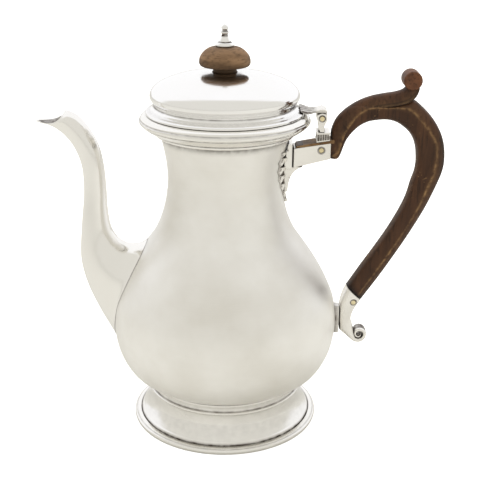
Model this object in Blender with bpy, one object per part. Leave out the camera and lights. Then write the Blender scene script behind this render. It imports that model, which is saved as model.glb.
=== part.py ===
"""Silver coffee pot: a baluster body on a spool foot, a curved spout, a hinged domed lid
with a wooden knob, and a wooden scroll handle held in two silver sockets.

Sizes are in millimetres and are turned into metres as each mesh is made. Everything is
modelled about the pot's own axis (X towards the handle, Z up) and parented to one empty,
which puts the middle of the whole object's box over the origin.
"""

import bmesh
import bpy
from math import cos, hypot, pi, radians, sin, sqrt
from mathutils import Matrix, Vector

# ---- driving dimensions, millimetres -------------------------------------------------
MM = 0.001
GAP = 0.3                     # clearance kept between pieces that touch
AXIS_X = -9.4                 # pot axis, from the middle of the object's box
TURN_STEPS = 36               # facets round the large turned pieces
SMALL_STEPS = 20              # facets round knobs, pins and ferrules

WALL = 1.1                    # raised silver sheet
BODY_TOP = 190.0
BODY_BASE = 25.4
NECK_BAND_RADIUS = 36.9       # straight band of the body inside the mouth moulding
BELLY = [(46.2, 27.2), (51.8, 30.2), (59.1, 36.0), (64.4, 46.0), (66.8, 57.0), (67.0, 66.0),
         (65.6, 77.0), (61.2, 88.0), (55.0, 99.5), (47.5, 110.8), (41.2, 120.0),
         (36.8, 130.5), (34.2, 141.5), (33.2, 152.0), (34.0, 163.0), (36.0, 173.5)]

STRAINER_HOLE_RADIUS = 1.6
STRAINER_PITCH = 7.0
STRAINER_ROWS = 5
STRAINER_MIDDLE_Z = 82.0

RIM_SEAT = BODY_TOP + 0.1     # top of the mouth moulding, where the lid rests
RIM_BORE = NECK_BAND_RADIUS + GAP

LID_SEAT = RIM_SEAT + GAP
LID_BEZEL_RADIUS = 35.1
LID_APEX = 213.4
LID_WALL = 1.0
KNOB_BASE = LID_APEX + GAP
KNOB_TOP = 227.6
FINIAL_TIP = 240.0
STEM_RADIUS = 2.0
STEM_END = 204.6

HINGE_X = 55.2                # hinge axis, parallel to Y
HINGE_Z = 188.0
HINGE_OPEN_WIDTH = 5.6        # half the length of the fixed knuckles together
HINGE_LID_WIDTH = 2.0         # half the length of the lid's knuckle
KNUCKLE_RADIUS = 3.0
HINGE_PIN_RADIUS = 1.35
LEAF_CREST = 194.0            # top of the lid's leaf where it passes over the barrel

SOCKET_HALF = 6.6             # half the width of the upper socket over its cheeks
CHEEK = 1.0
SOCKET_LEFT = 39.4
SOCKET_RIGHT = 60.6
SOCKET_FLOOR = (159.4, 164.7)      # height of the underside at the left and right ends
SOCKET_TOP = (172.1, 175.3)        # height of the cheeks at the left and right ends
DROP_FOOT = 137.5             # ornamental drop of husks under the socket
DROP_TOP = 170.0
DROP_HALF = 15.5
DROP_HUSKS = 5
DROP_CENTRE = 0.8             # thickness of the drop under the bracket
DROP_HUSK = 0.9               # how far the husks at its sides stand out beyond that
# Each station of the bracket holds its height, its front face and half its width.
BRACKET = [(143.6, 36.6, 1.2), (148.6, 36.9, 2.4), (153.0, 37.3, 3.6), (156.6, 37.8, 5.0),
           (159.0, 39.1, 6.6), (173.4, 39.1, 7.2)]
HANDLE_PIN_RADIUS = 1.5
UPPER_PIN = (55.2, 169.8)

# Each station of the handle holds its outer point, its inner point and half its width.
HANDLE_LOOP = [(60.9, 180.8, 60.9, 164.2, 5.6), (62.2, 184.8, 65.4, 164.8, 6.2),
               (65.0, 189.3, 69.6, 175.2, 6.4), (70.8, 194.4, 75.2, 181.9, 6.5),
               (77.0, 196.4, 80.6, 185.2, 6.5), (84.5, 195.8, 85.8, 186.4, 6.5),
               (93.0, 195.2, 92.0, 186.8, 6.5), (100.0, 197.0, 97.6, 185.4, 6.6),
               (106.6, 198.3, 102.0, 182.6, 6.7), (112.4, 194.2, 105.7, 179.2, 6.7),
               (117.6, 188.8, 108.2, 175.0, 6.7), (122.2, 182.2, 109.6, 170.4, 6.7),
               (125.4, 174.6, 110.2, 165.8, 6.7), (126.8, 166.0, 110.4, 161.0, 6.7),
               (126.3, 157.5, 109.8, 156.0, 6.7), (123.0, 147.4, 108.1, 150.3, 6.6),
               (117.0, 133.2, 104.9, 138.4, 6.5), (108.1, 116.4, 97.4, 122.8, 6.3),
               (99.0, 101.0, 88.1, 107.4, 6.2), (92.4, 90.4, 81.3, 97.0, 6.2),
               (83.0, 76.4, 73.9, 85.0, 6.2)]
THUMB_SPUR = [(66.5, 189.6, 70.0, 179.0, 5.8), (70.9, 194.5, 74.6, 184.0, 6.3),
              (77.2, 198.2, 80.0, 188.6, 6.4), (83.8, 200.5, 85.6, 193.2, 6.4),
              (90.2, 201.8, 91.8, 194.4, 6.4), (96.2, 202.8, 98.4, 195.4, 6.3),
              (100.4, 204.2, 104.6, 197.4, 6.2), (102.6, 206.6, 108.2, 201.4, 6.1),
              (103.6, 209.0, 109.5, 205.4, 6.0)]
THUMB_ROLL = (105.3, 209.7)
THUMB_ROLL_RADIUS = 5.3
THUMB_ROLL_HALF = 6.4
# Handle section: how far out along the station, and what share of its half width.
HANDLE_SECTION = [(1.0, 0.26), (0.80, 0.62), (0.42, 0.93), (0.05, 1.0), (-0.45, 0.97),
                  (-0.85, 0.64), (-1.0, 0.24)]

LOWER_TENON_TOP = (78.9, 82.2)
LOWER_TENON_DIRECTION = (-0.30, -0.954)
LOWER_TENON_LENGTH = 11.6
LOWER_TENON_HALF = 3.6
LOWER_PIN = (77.6, 75.2)
LOWER_SOCKET = [(82.6, 76.0, 73.6, 84.5, 6.2), (80.9, 73.1, 71.5, 79.9, 6.2),
                (79.0, 70.0, 70.0, 74.6, 6.0), (77.6, 66.5, 69.4, 69.2, 5.6),
                (77.0, 62.6, 69.4, 62.0, 5.2), (77.8, 59.8, 70.2, 55.4, 5.0),
                (80.4, 57.6, 74.4, 50.4, 4.8), (83.0, 56.0, 80.2, 48.6, 4.6)]
VOLUTE = (81.9, 53.3)
VOLUTE_RADIUS = 4.7
VOLUTE_HALF = 4.9
PAD_FACE_X = 69.1

# Each station of the spout holds its outer point, its inner point and half its width.
SPOUT = [(-72.8, 62.6, -50.2, 110.6, 16.2), (-77.2, 71.6, -56.2, 109.8, 15.0),
         (-81.8, 82.6, -62.0, 112.2, 13.4), (-84.9, 93.6, -65.4, 116.2, 11.8),
         (-86.2, 105.0, -67.9, 122.4, 10.2), (-84.6, 124.0, -69.1, 133.0, 8.6),
         (-82.6, 142.0, -69.3, 144.5, 7.4), (-82.9, 157.5, -70.2, 158.5, 7.0),
         (-86.2, 168.2, -72.6, 170.2, 7.0), (-90.8, 175.4, -77.6, 180.2, 7.2),
         (-95.6, 179.9, -82.8, 186.8, 7.5), (-101.0, 182.8, -87.0, 189.8, 7.9),
         (-108.0, 184.9, -90.4, 191.0, 8.0)]
SPOUT_ROOT_MIDDLE_Z = 81.8    # the oval where the spout meets the body
SPOUT_ROOT_HALF_Z = 31.4
SPOUT_ROOT_HALF_Y = 17.5
SPOUT_ROOT_GAP = 0.6          # the flat facets of the root need more than GAP
SPOUT_WALL = 1.0
SPOUT_DIP = (2.6, -2.9)       # how the lip's two side edges sag between tip and crown
SPOUT_POINT = 0.38            # how much the lip narrows towards its tip
SPOUT_STEPS = 24

SILVER = (0.86, 0.84, 0.80)
BRASS = (0.74, 0.60, 0.36)
WOOD = (0.13, 0.065, 0.035)
KNOB_WOOD = (0.30, 0.17, 0.10)


# ---- shared tools ----------------------------------------------------------------------
def material(name, colour, roughness, metallic):
    """One Principled material for one piece."""
    made = bpy.data.materials.new(name)
    made.use_nodes = True
    shader = made.node_tree.nodes["Principled BSDF"]
    shader.inputs["Base Color"].default_value = (*colour, 1.0)
    shader.inputs["Roughness"].default_value = roughness
    shader.inputs["Metallic"].default_value = metallic
    return made


def smooth(points, steps):
    """Points along a Catmull-Rom curve through the given ones, of any dimension."""
    rows = [Vector(p) for p in points]
    path = []
    for i in range(len(rows) - 1):
        before = rows[max(i - 1, 0)]
        after = rows[min(i + 2, len(rows) - 1)]
        a, b = rows[i], rows[i + 1]
        for k in range(steps):
            t = k / steps
            path.append(0.5 * (2 * a + (b - before) * t
                               + (2 * before - 5 * a + 4 * b - after) * t * t
                               + (3 * a - before - 3 * b + after) * t ** 3))
    path.append(rows[-1])
    return path


def smooth_stations(stations, steps):
    """The same curve through stations of five numbers, done as two shorter vectors."""
    ends = smooth([s[:4] for s in stations], steps)
    widths = smooth([(s[4], 0.0) for s in stations], steps)
    return [(*end, width[0]) for end, width in zip(ends, widths)]


def offset(profile, distance):
    """A profile moved to the left of its direction of travel."""
    moved = []
    for i, point in enumerate(profile):
        before = Vector(profile[max(i - 1, 0)])
        after = Vector(profile[min(i + 1, len(profile) - 1)])
        along = (after - before).normalized()
        moved.append((point[0] - along.y * distance, point[1] + along.x * distance))
    return moved


def finish(bm, name, look, parent):
    """Close a bmesh into a named object under the pot's empty."""
    bmesh.ops.remove_doubles(bm, verts=bm.verts, dist=0.00001)
    bmesh.ops.recalc_face_normals(bm, faces=bm.faces)
    mesh = bpy.data.meshes.new(name)
    bm.to_mesh(mesh)
    bm.free()
    mesh.shade_smooth()
    mesh.set_sharp_from_angle(angle=radians(35))
    mesh.materials.append(material(name + "_finish", *look))
    piece = bpy.data.objects.new(name, mesh)
    bpy.context.scene.collection.objects.link(piece)
    piece.parent = parent
    return piece


def turned(name, outline, look, parent, steps=TURN_STEPS, closed=True):
    """A turned piece: an outline of (radius, height) spun about the pot's axis."""
    bm = bmesh.new()
    verts = [bm.verts.new((r * MM, 0, z * MM)) for r, z in outline]
    edges = [bm.edges.new(pair) for pair in zip(verts, verts[1:])]
    if closed:
        edges.append(bm.edges.new((verts[-1], verts[0])))
    bmesh.ops.spin(bm, geom=verts + edges, cent=(0, 0, 0), axis=(0, 0, 1),
                   angle=2 * pi, steps=steps, use_merge=True)
    return finish(bm, name, look, parent)


def lofted(rings, cap_ends=True):
    """A bmesh skin over rings of points, with a flat cap on each end."""
    bm = bmesh.new()
    rows = [[bm.verts.new(Vector(p) * MM) for p in ring] for ring in rings]
    for a, b in zip(rows, rows[1:]):
        for i in range(len(a)):
            j = (i + 1) % len(a)
            bm.faces.new((a[i], a[j], b[j], b[i]))
    if cap_ends:
        bm.faces.new(rows[0][::-1])
        bm.faces.new(rows[-1])
    return bm


def prism(outline, half_width):
    """A bmesh of an (x, z) outline extruded along Y to both sides of the middle plane."""
    rings = [[(x, y, z) for x, z in outline] for y in (-half_width, half_width)]
    return lofted(rings)


def rod(x, z, radius, half_length, steps=SMALL_STEPS, bevel=0.0):
    """A bmesh of a round bar parallel to Y, its ends bevelled."""
    rings = []
    for y, r in ((-half_length, radius - bevel), (-half_length + bevel, radius),
                 (half_length - bevel, radius), (half_length, radius - bevel)):
        if bevel or abs(y) == half_length:
            rings.append([(x + r * cos(2 * pi * k / steps), y, z + r * sin(2 * pi * k / steps))
                          for k in range(steps)])
    if not bevel:
        rings = [rings[0], rings[-1]]
    return lofted(rings)


def helper(bm, name, parent):
    """An object used only by a Boolean, and left out of the build."""
    tool = finish(bm, name, (SILVER, 0.5, 0.0), parent)
    tool.hide_render = True
    tool.display_type = "WIRE"
    return tool


def boolean(piece, tool, operation, solver="EXACT"):
    cut = piece.modifiers.new(operation.lower(), "BOOLEAN")
    cut.operation = operation
    cut.object = tool
    cut.solver = solver


def section_ring(station, section=HANDLE_SECTION):
    """One ring of the handle or the lower socket, from its station."""
    out_x, out_z, in_x, in_z, half = station
    middle = ((out_x + in_x) / 2, (out_z + in_z) / 2)
    reach = ((out_x - in_x) / 2, (out_z - in_z) / 2)
    both_sides = [(n, w) for n, w in section] + [(n, -w) for n, w in reversed(section)]
    return [(middle[0] + reach[0] * n, half * w, middle[1] + reach[1] * n)
            for n, w in both_sides]


# ---- body and foot ---------------------------------------------------------------------
def body_profile():
    """Outer profile of the body from the middle of its base to its mouth."""
    return ([(0.0, BODY_BASE), (38.0, BODY_BASE)] + BELLY
            + [(NECK_BAND_RADIUS, 178.0), (NECK_BAND_RADIUS, BODY_TOP)])


def body_radius(z):
    """Radius of the body's outside at a height."""
    profile = body_profile()[1:]
    for (r0, z0), (r1, z1) in zip(profile, profile[1:]):
        if z0 <= z <= z1 and z1 > z0:
            return r0 + (r1 - r0) * (z - z0) / (z1 - z0)
    return NECK_BAND_RADIUS


def body_surface_x(y, z, clearance=GAP):
    """Distance from the axis, along X, of a point just clear of the body."""
    return sqrt((body_radius(z) + clearance) ** 2 - y * y)


def make_body(parent):
    outer = body_profile()
    inner = offset(outer, WALL)
    inner[0] = (0.0, BODY_BASE + WALL)
    inner[-1] = (NECK_BAND_RADIUS - WALL, BODY_TOP)
    body = turned("body", outer + inner[::-1], (SILVER, 0.12, 1.0), parent, closed=False)
    cutters = bmesh.new()
    for row in range(STRAINER_ROWS):
        z = STRAINER_MIDDLE_Z + (row - (STRAINER_ROWS - 1) / 2) * STRAINER_PITCH * 0.87
        across = (-0.5, 0.5) if row % 2 == 0 else (-1.0, 0.0, 1.0)
        for place in across:
            hole = Matrix.Translation((-60 * MM, place * STRAINER_PITCH * MM, z * MM))
            bmesh.ops.create_cone(cutters, cap_ends=True, segments=10,
                                  radius1=STRAINER_HOLE_RADIUS * MM,
                                  radius2=STRAINER_HOLE_RADIUS * MM, depth=40 * MM,
                                  matrix=hole @ Matrix.Rotation(pi / 2, 4, "Y"))
    boolean(body, helper(cutters, "strainer_cutter", parent), "DIFFERENCE")


def make_foot(parent):
    cavetto = [(45.2, 19.6), (45.2, 16.6), (46.0, 12.6), (48.0, 8.6), (51.2, 5.0)]
    inside = offset(cavetto, -WALL)
    foot = cavetto + [(51.8, 3.8), (51.8, 0.4), (50.6, 0.4)] + inside[::-1]
    turned("foot", foot, (SILVER, 0.12, 1.0), parent)
    collar = [(43.9, 26.0), (45.2, 26.3), (46.0, 25.9), (45.6, 24.2), (45.8, 22.6),
              (46.7, 21.9), (47.1, 21.1), (46.6, 20.2), (43.9, 19.9)]
    turned("foot_collar", collar, (SILVER, 0.12, 1.0), parent)
    rim = [(52.1, 0.0), (52.1, 2.9), (52.9, 3.4), (54.2, 3.5), (55.4, 3.0), (56.2, 2.1),
           (56.5, 1.1), (56.3, 0.0)]
    turned("foot_rim", rim, (SILVER, 0.12, 1.0), parent)


def make_mouth(parent):
    moulding = [(RIM_BORE, 178.4), (38.9, 178.0), (40.3, 178.9), (40.5, 179.8),
                (42.6, 180.8), (45.8, 182.8), (47.9, 184.9), (48.7, 185.5), (49.0, 186.5),
                (48.7, 187.6), (47.9, 188.7), (46.4, 189.7), (44.6, RIM_SEAT),
                (RIM_BORE, RIM_SEAT)]
    turned("mouth_moulding", moulding, (SILVER, 0.12, 1.0), parent)


# ---- spout -------------------------------------------------------------------------------
def spout_root(inset):
    """The oval ring where the spout stands on the body; inset is the wall thickness."""
    ring = []
    for k in range(SPOUT_STEPS):
        turn = 2 * pi * k / SPOUT_STEPS
        y = (SPOUT_ROOT_HALF_Y - inset) * sin(turn)
        z = SPOUT_ROOT_MIDDLE_Z - (SPOUT_ROOT_HALF_Z - inset) * cos(turn)
        ring.append((-body_surface_x(y, z, SPOUT_ROOT_GAP), y, z))
    return ring


def spout_ring(station, share, inset):
    """One oval ring; share is 1 at the lip, where the ring sags and comes to a point."""
    out_x, out_z, in_x, in_z, half = station
    length = hypot(out_x - in_x, out_z - in_z) / 2
    keep = (length - inset) / length
    ring = []
    for k in range(SPOUT_STEPS):
        turn = 2 * pi * k / SPOUT_STEPS
        c, s = cos(turn), sin(turn)
        x = (out_x + in_x) / 2 + (out_x - in_x) / 2 * keep * c
        z = (out_z + in_z) / 2 + (out_z - in_z) / 2 * keep * c
        narrow = 1 - SPOUT_POINT * share * max(c, 0.0)
        ring.append((x + SPOUT_DIP[0] * share * s * s, (half - inset) * s * narrow,
                     z + SPOUT_DIP[1] * share * s * s))
    return ring


def make_spout(parent):
    stations = smooth_stations(SPOUT, 2)
    last = len(stations) - 1
    rings = []
    for inset in (0.0, SPOUT_WALL):
        shares = [max(0.0, (i - last + 4) / 4) ** 2 for i in range(last + 1)]
        wall = [spout_ring(s, share, inset) for s, share in zip(stations, shares)]
        rings.append([spout_root(inset)] + wall)
    outer, inner = rings
    loop = outer + inner[::-1] + [outer[0]]
    finish(lofted(loop, cap_ends=False), "spout", (SILVER, 0.12, 1.0), parent)


# ---- lid -----------------------------------------------------------------------------------
def make_lid(lid):
    """The lid's pieces hang on an empty that sits on the hinge axis."""
    dome = [(40.2, 195.3), (40.5, 196.4), (42.0, 198.0), (42.6, 199.9), (42.4, 201.8),
            (41.1, 204.2), (38.0, 206.9), (33.0, 209.2), (26.0, 211.3), (17.0, 212.8),
            (8.0, LID_APEX), (STEM_RADIUS + GAP, LID_APEX)]
    under = offset(dome, LID_WALL)
    under[0] = (dome[0][0] - LID_WALL, dome[0][1])
    under[-1] = (STEM_RADIUS + GAP, LID_APEX - LID_WALL)
    turned("lid_dome", dome + under[::-1], (SILVER, 0.10, 1.0), lid)
    bore = LID_BEZEL_RADIUS + GAP
    flange = [(bore, LID_SEAT), (44.4, LID_SEAT), (45.1, 190.9), (44.9, 191.7), (43.3, 192.6),
              (41.7, 193.6), (40.8, 195.0), (bore, 195.0)]
    turned("lid_flange", flange, (SILVER, 0.12, 1.0), lid)
    bezel = [(34.1, 182.4), (34.8, 182.4), (LID_BEZEL_RADIUS, 182.9),
             (LID_BEZEL_RADIUS, 194.8), (34.1, 194.8)]
    turned("lid_bezel", bezel, (SILVER, 0.2, 1.0), lid)


def make_knob(lid):
    bore = STEM_RADIUS + GAP
    knob = [(bore, KNOB_BASE), (7.2, KNOB_BASE), (6.6, 214.5), (6.6, 215.5), (9.0, 216.3),
            (13.0, 216.8), (14.2, 217.8), (14.5, 219.4), (13.9, 222.1), (11.8, 224.9),
            (8.8, 226.9), (5.2, KNOB_TOP), (bore, KNOB_TOP)]
    turned("knob", knob, (KNOB_WOOD, 0.45, 0.0), lid, SMALL_STEPS)
    seat = KNOB_TOP + GAP
    finial = [(0.0, STEM_END), (STEM_RADIUS, STEM_END), (STEM_RADIUS, seat), (4.6, seat),
              (4.9, 228.6), (4.4, 229.6), (3.5, 230.2), (3.2, 231.2), (2.1, 233.0),
              (1.6, 234.2), (2.2, 235.4), (1.4, 236.6), (1.9, 237.6), (1.6, 239.2),
              (0.0, FINIAL_TIP)]
    turned("finial_screw", finial, (SILVER, 0.15, 1.0), lid, 16, closed=False)
    washer = [(bore, 209.9), (6.0, 209.9), (6.0, 211.2), (bore, 211.2)]
    turned("knob_washer", washer, (BRASS, 0.3, 1.0), lid, SMALL_STEPS)
    nut = [(bore, 206.6), (4.6, 206.6), (4.6, 209.6), (bore, 209.6)]
    turned("knob_nut", nut, (BRASS, 0.3, 1.0), lid, 6)


# ---- hinge -----------------------------------------------------------------------------------
def knuckle_outline(reach, steps=12):
    """Round end of a knuckle: an arc about the hinge axis from underneath over to the top."""
    return [(HINGE_X + KNUCKLE_RADIUS * cos(a), HINGE_Z + KNUCKLE_RADIUS * sin(a))
            for a in (reach[0] + (reach[1] - reach[0]) * k / steps for k in range(steps + 1))]


def make_hinge_leaf(lid):
    """A fan-shaped leaf on the lid's flange that covers the barrel and ends in an eye."""
    roof = HINGE_Z + KNUCKLE_RADIUS + GAP
    end = HINGE_OPEN_WIDTH
    stations = [(45.6, LEAF_CREST - 0.6, 190.9, 9.0), (48.4, LEAF_CREST - 1.3, 190.9, 7.2),
                (51.0, LEAF_CREST - 1.2, roof, end), (53.4, LEAF_CREST - 0.4, roof, end),
                (55.6, LEAF_CREST, roof, end), (57.4, LEAF_CREST - 0.8, roof, end),
                (58.1, LEAF_CREST - 2.0, roof, end)]
    rings = [[(x, w, bottom), (x, w, top), (x, -w, top), (x, -w, bottom)]
             for x, top, bottom, w in stations]
    leaf = finish(lofted(rings), "hinge_leaf", (SILVER, 0.2, 1.0), lid)
    left, right = HINGE_X - KNUCKLE_RADIUS, HINGE_X + KNUCKLE_RADIUS
    inside = roof + 0.8
    eye = [(left, inside)] + knuckle_outline((-pi, 0.0)) + [(right, inside)]
    boolean(leaf, helper(prism(eye, HINGE_LID_WIDTH), "leaf_eye", lid), "UNION")
    bore = rod(HINGE_X, HINGE_Z, HINGE_PIN_RADIUS + GAP, HINGE_LID_WIDTH + 3, 16)
    boolean(leaf, helper(bore, "leaf_bore", lid), "DIFFERENCE")


def make_hinge_mount(parent):
    """Reeded block on the socket, the fork that stands on it, and the hinge pin."""
    left, right = 52.2, 60.0
    floor_left, floor_right = (socket_height(SOCKET_TOP, x) + GAP for x in (left, right))
    top = 180.0
    reeds = [(left, floor_left), (right, floor_right), (right, 177.0), (right - 0.5, 177.4),
             (right, 177.8), (right, 178.8), (right - 0.6, top), (left + 0.6, top),
             (left, 178.8), (left, 177.8), (left + 0.5, 177.4), (left, 177.0)]
    finish(prism(reeds, SOCKET_HALF), "hinge_block", (SILVER, 0.2, 1.0), parent)
    foot = top + GAP
    arc = knuckle_outline((-0.25 * pi, 1.15 * pi))
    fork_outline = [(52.6, foot), (56.2, foot)] + arc
    fork = finish(prism(fork_outline, HINGE_OPEN_WIDTH), "hinge_fork", (SILVER, 0.2, 1.0),
                  parent)
    slot_floor = HINGE_Z - KNUCKLE_RADIUS - 2 * GAP
    slot = prism([(45, slot_floor), (65, slot_floor), (65, 195), (45, 195)],
                 HINGE_LID_WIDTH + GAP)
    boolean(fork, helper(slot, "fork_slot", parent), "DIFFERENCE")
    bore = rod(HINGE_X, HINGE_Z, HINGE_PIN_RADIUS + GAP, HINGE_OPEN_WIDTH + 3, 16)
    boolean(fork, helper(bore, "fork_bore", parent), "DIFFERENCE")
    pin = rod(HINGE_X, HINGE_Z, HINGE_PIN_RADIUS, HINGE_OPEN_WIDTH + 0.4, 16, 0.3)
    finish(pin, "hinge_pin", (BRASS, 0.3, 1.0), parent)


# ---- upper socket ------------------------------------------------------------------------------
def socket_height(ends, x):
    """Height of a sloping socket edge at x."""
    share = (x - SOCKET_LEFT) / (SOCKET_RIGHT - SOCKET_LEFT)
    return ends[0] + (ends[1] - ends[0]) * share


def make_upper_socket(parent):
    outline = [(SOCKET_LEFT, SOCKET_FLOOR[0]), (SOCKET_RIGHT, SOCKET_FLOOR[1]),
               (SOCKET_RIGHT, SOCKET_TOP[1]), (SOCKET_LEFT, SOCKET_TOP[0])]
    socket = finish(prism(outline, SOCKET_HALF), "upper_socket", (SILVER, 0.15, 1.0), parent)
    beyond = SOCKET_RIGHT + 8
    inside = [(SOCKET_LEFT + CHEEK, socket_height(SOCKET_FLOOR, SOCKET_LEFT) + CHEEK + 0.3),
              (beyond, socket_height(SOCKET_FLOOR, beyond) + CHEEK + 0.3),
              (beyond, 190), (SOCKET_LEFT + CHEEK, 190)]
    boolean(socket, helper(prism(inside, SOCKET_HALF - CHEEK), "socket_trough", parent),
            "DIFFERENCE")
    bore = rod(*UPPER_PIN, HANDLE_PIN_RADIUS + GAP, SOCKET_HALF + 3, 16)
    boolean(socket, helper(bore, "socket_bore", parent), "DIFFERENCE")
    make_bracket(parent)


def make_bracket(parent):
    """The bracket behind the socket, which tapers down over the drop of husks."""
    rings = []
    for z, front, half in BRACKET:
        clear = 2 * GAP + DROP_CENTRE
        back = [(body_surface_x(half * s, z, clear), half * s, z) for s in (-1, -0.5, 0, 0.5, 1)]
        rings.append(back + [(front, half, z), (front, -half, z)])
    finish(lofted(rings), "socket_bracket", (SILVER, 0.15, 1.0), parent)


def drop_half_width(z):
    """Half the width of the husk drop: a leaf, widest above its middle."""
    share = (z - DROP_FOOT) / (DROP_TOP - DROP_FOOT)
    return 1.0 + DROP_HALF * sin(pi * (0.10 + 0.62 * share) - 0.30) ** 1.1


def make_socket_drop(parent):
    """A tapering drop of graduated husks applied to the neck, thinnest under the bracket."""
    step = (DROP_TOP - DROP_FOOT) / (2 * DROP_HUSKS)
    rings = []
    for k in range(2 * DROP_HUSKS + 1):
        z = DROP_FOOT + k * step
        half = drop_half_width(z)
        front = []
        back = []
        for share in (-1.0, -0.75, -0.5, -0.25, 0.0, 0.25, 0.5, 0.75, 1.0):
            y = half * share
            husk = DROP_HUSK if k % 2 and abs(share) == 0.75 else 0.0
            front.append((body_surface_x(y, z, GAP + DROP_CENTRE + husk), y, z))
            back.append((body_surface_x(y, z), y, z))
        rings.append(front + back[::-1])
    finish(lofted(rings), "socket_drop", (SILVER, 0.2, 1.0), parent)


# ---- handle --------------------------------------------------------------------------------------
def lower_tenon(half, half_y, start, end):
    """A bar along the lower tenon's direction, from start to end below its top."""
    down = Vector(LOWER_TENON_DIRECTION).normalized()
    across = Vector((-down.y, down.x))
    top = Vector(LOWER_TENON_TOP)
    corners = [top + down * start - across * half, top + down * start + across * half,
               top + down * end + across * half, top + down * end - across * half]
    return prism([tuple(c) for c in corners], half_y)


def make_handle(parent):
    loop = lofted([section_ring(s) for s in HANDLE_LOOP])
    handle = finish(loop, "handle", (WOOD, 0.4, 0.0), parent)
    spur = lofted([section_ring(s) for s in THUMB_SPUR])
    boolean(handle, helper(spur, "thumb_spur", parent), "UNION", "MANIFOLD")
    roll = rod(*THUMB_ROLL, THUMB_ROLL_RADIUS, THUMB_ROLL_HALF, SMALL_STEPS, 0.6)
    boolean(handle, helper(roll, "thumb_roll", parent), "UNION", "MANIFOLD")
    left = SOCKET_LEFT + CHEEK + GAP
    right = SOCKET_RIGHT + 3.5
    tenon = [(left, socket_height(SOCKET_FLOOR, left) + CHEEK + 2 * GAP),
             (right, socket_height(SOCKET_FLOOR, right) + CHEEK + 2 * GAP),
             (right, socket_height(SOCKET_TOP, right) - GAP),
             (left, socket_height(SOCKET_TOP, left) - GAP)]
    upper = prism(tenon, SOCKET_HALF - CHEEK - GAP)
    boolean(handle, helper(upper, "upper_tenon", parent), "UNION", "MANIFOLD")
    lower = lower_tenon(LOWER_TENON_HALF, LOWER_TENON_HALF, -4.0, LOWER_TENON_LENGTH)
    boolean(handle, helper(lower, "lower_tenon", parent), "UNION", "MANIFOLD")
    for name, place in (("upper", UPPER_PIN), ("lower", LOWER_PIN)):
        bore = rod(*place, HANDLE_PIN_RADIUS + GAP, 12, 16)
        tool = helper(bore, name + "_handle_bore", parent)
        boolean(handle, tool, "DIFFERENCE", "MANIFOLD")
    upper_pin = rod(*UPPER_PIN, HANDLE_PIN_RADIUS, SOCKET_HALF + 0.3, 16, 0.3)
    finish(upper_pin, "upper_handle_pin", (BRASS, 0.3, 1.0), parent)
    lower_pin = rod(*LOWER_PIN, HANDLE_PIN_RADIUS, 6.5, 16, 0.3)
    finish(lower_pin, "lower_handle_pin", (BRASS, 0.3, 1.0), parent)


def make_lower_socket(parent):
    """Cast ferrule that takes the handle's end and curls into a volute below."""
    sleeve = lofted([section_ring(s) for s in smooth_stations(LOWER_SOCKET, 2)])
    socket = finish(sleeve, "lower_socket", (SILVER, 0.15, 1.0), parent)
    volute = rod(*VOLUTE, VOLUTE_RADIUS, VOLUTE_HALF, SMALL_STEPS, 0.5)
    boolean(socket, helper(volute, "volute", parent), "UNION")
    room = LOWER_TENON_HALF + GAP
    mortise = lower_tenon(room, room, -10.0, LOWER_TENON_LENGTH + GAP)
    boolean(socket, helper(mortise, "mortise", parent), "DIFFERENCE")
    bore = rod(*LOWER_PIN, HANDLE_PIN_RADIUS + GAP, 12, 16)
    boolean(socket, helper(bore, "lower_socket_bore", parent), "DIFFERENCE")
    heights = [53.4, 55.0, 62.0, 69.0, 71.4]
    widths = [2.6, 4.4, 5.4, 4.8, 3.0]
    rings = []
    for z, half in zip(heights, widths):
        back = [(body_surface_x(half * s, z), half * s, z) for s in (-1, -0.5, 0, 0.5, 1)]
        front = [(PAD_FACE_X, half * s, z) for s in (1, 0, -1)]
        rings.append(back + front)
    finish(lofted(rings), "lower_socket_pad", (SILVER, 0.2, 1.0), parent)


def main():
    for old in list(bpy.data.objects):
        bpy.data.objects.remove(old, do_unlink=True)
    pot = bpy.data.objects.new("pot_axis", None)
    pot.location = (AXIS_X * MM, 0, 0)
    bpy.context.scene.collection.objects.link(pot)
    hinge_axis = bpy.data.objects.new("hinge_axis", None)
    hinge_axis.parent = pot
    hinge_axis.location = (HINGE_X * MM, 0, HINGE_Z * MM)
    bpy.context.scene.collection.objects.link(hinge_axis)
    lid = bpy.data.objects.new("lid_axis", None)
    lid.parent = hinge_axis
    lid.location = (-HINGE_X * MM, 0, -HINGE_Z * MM)
    bpy.context.scene.collection.objects.link(lid)
    make_body(pot)
    make_foot(pot)
    make_mouth(pot)
    make_spout(pot)
    make_lid(lid)
    make_knob(lid)
    make_hinge_leaf(lid)
    make_hinge_mount(pot)
    make_upper_socket(pot)
    make_socket_drop(pot)
    make_handle(pot)
    make_lower_socket(pot)


main()
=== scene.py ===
"""Silver coffee pot: fine surfaces, materials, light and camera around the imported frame."""

from math import cos, hypot, pi, radians, sin, sqrt

import bmesh
import bpy
from mathutils import Matrix, Vector


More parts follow.
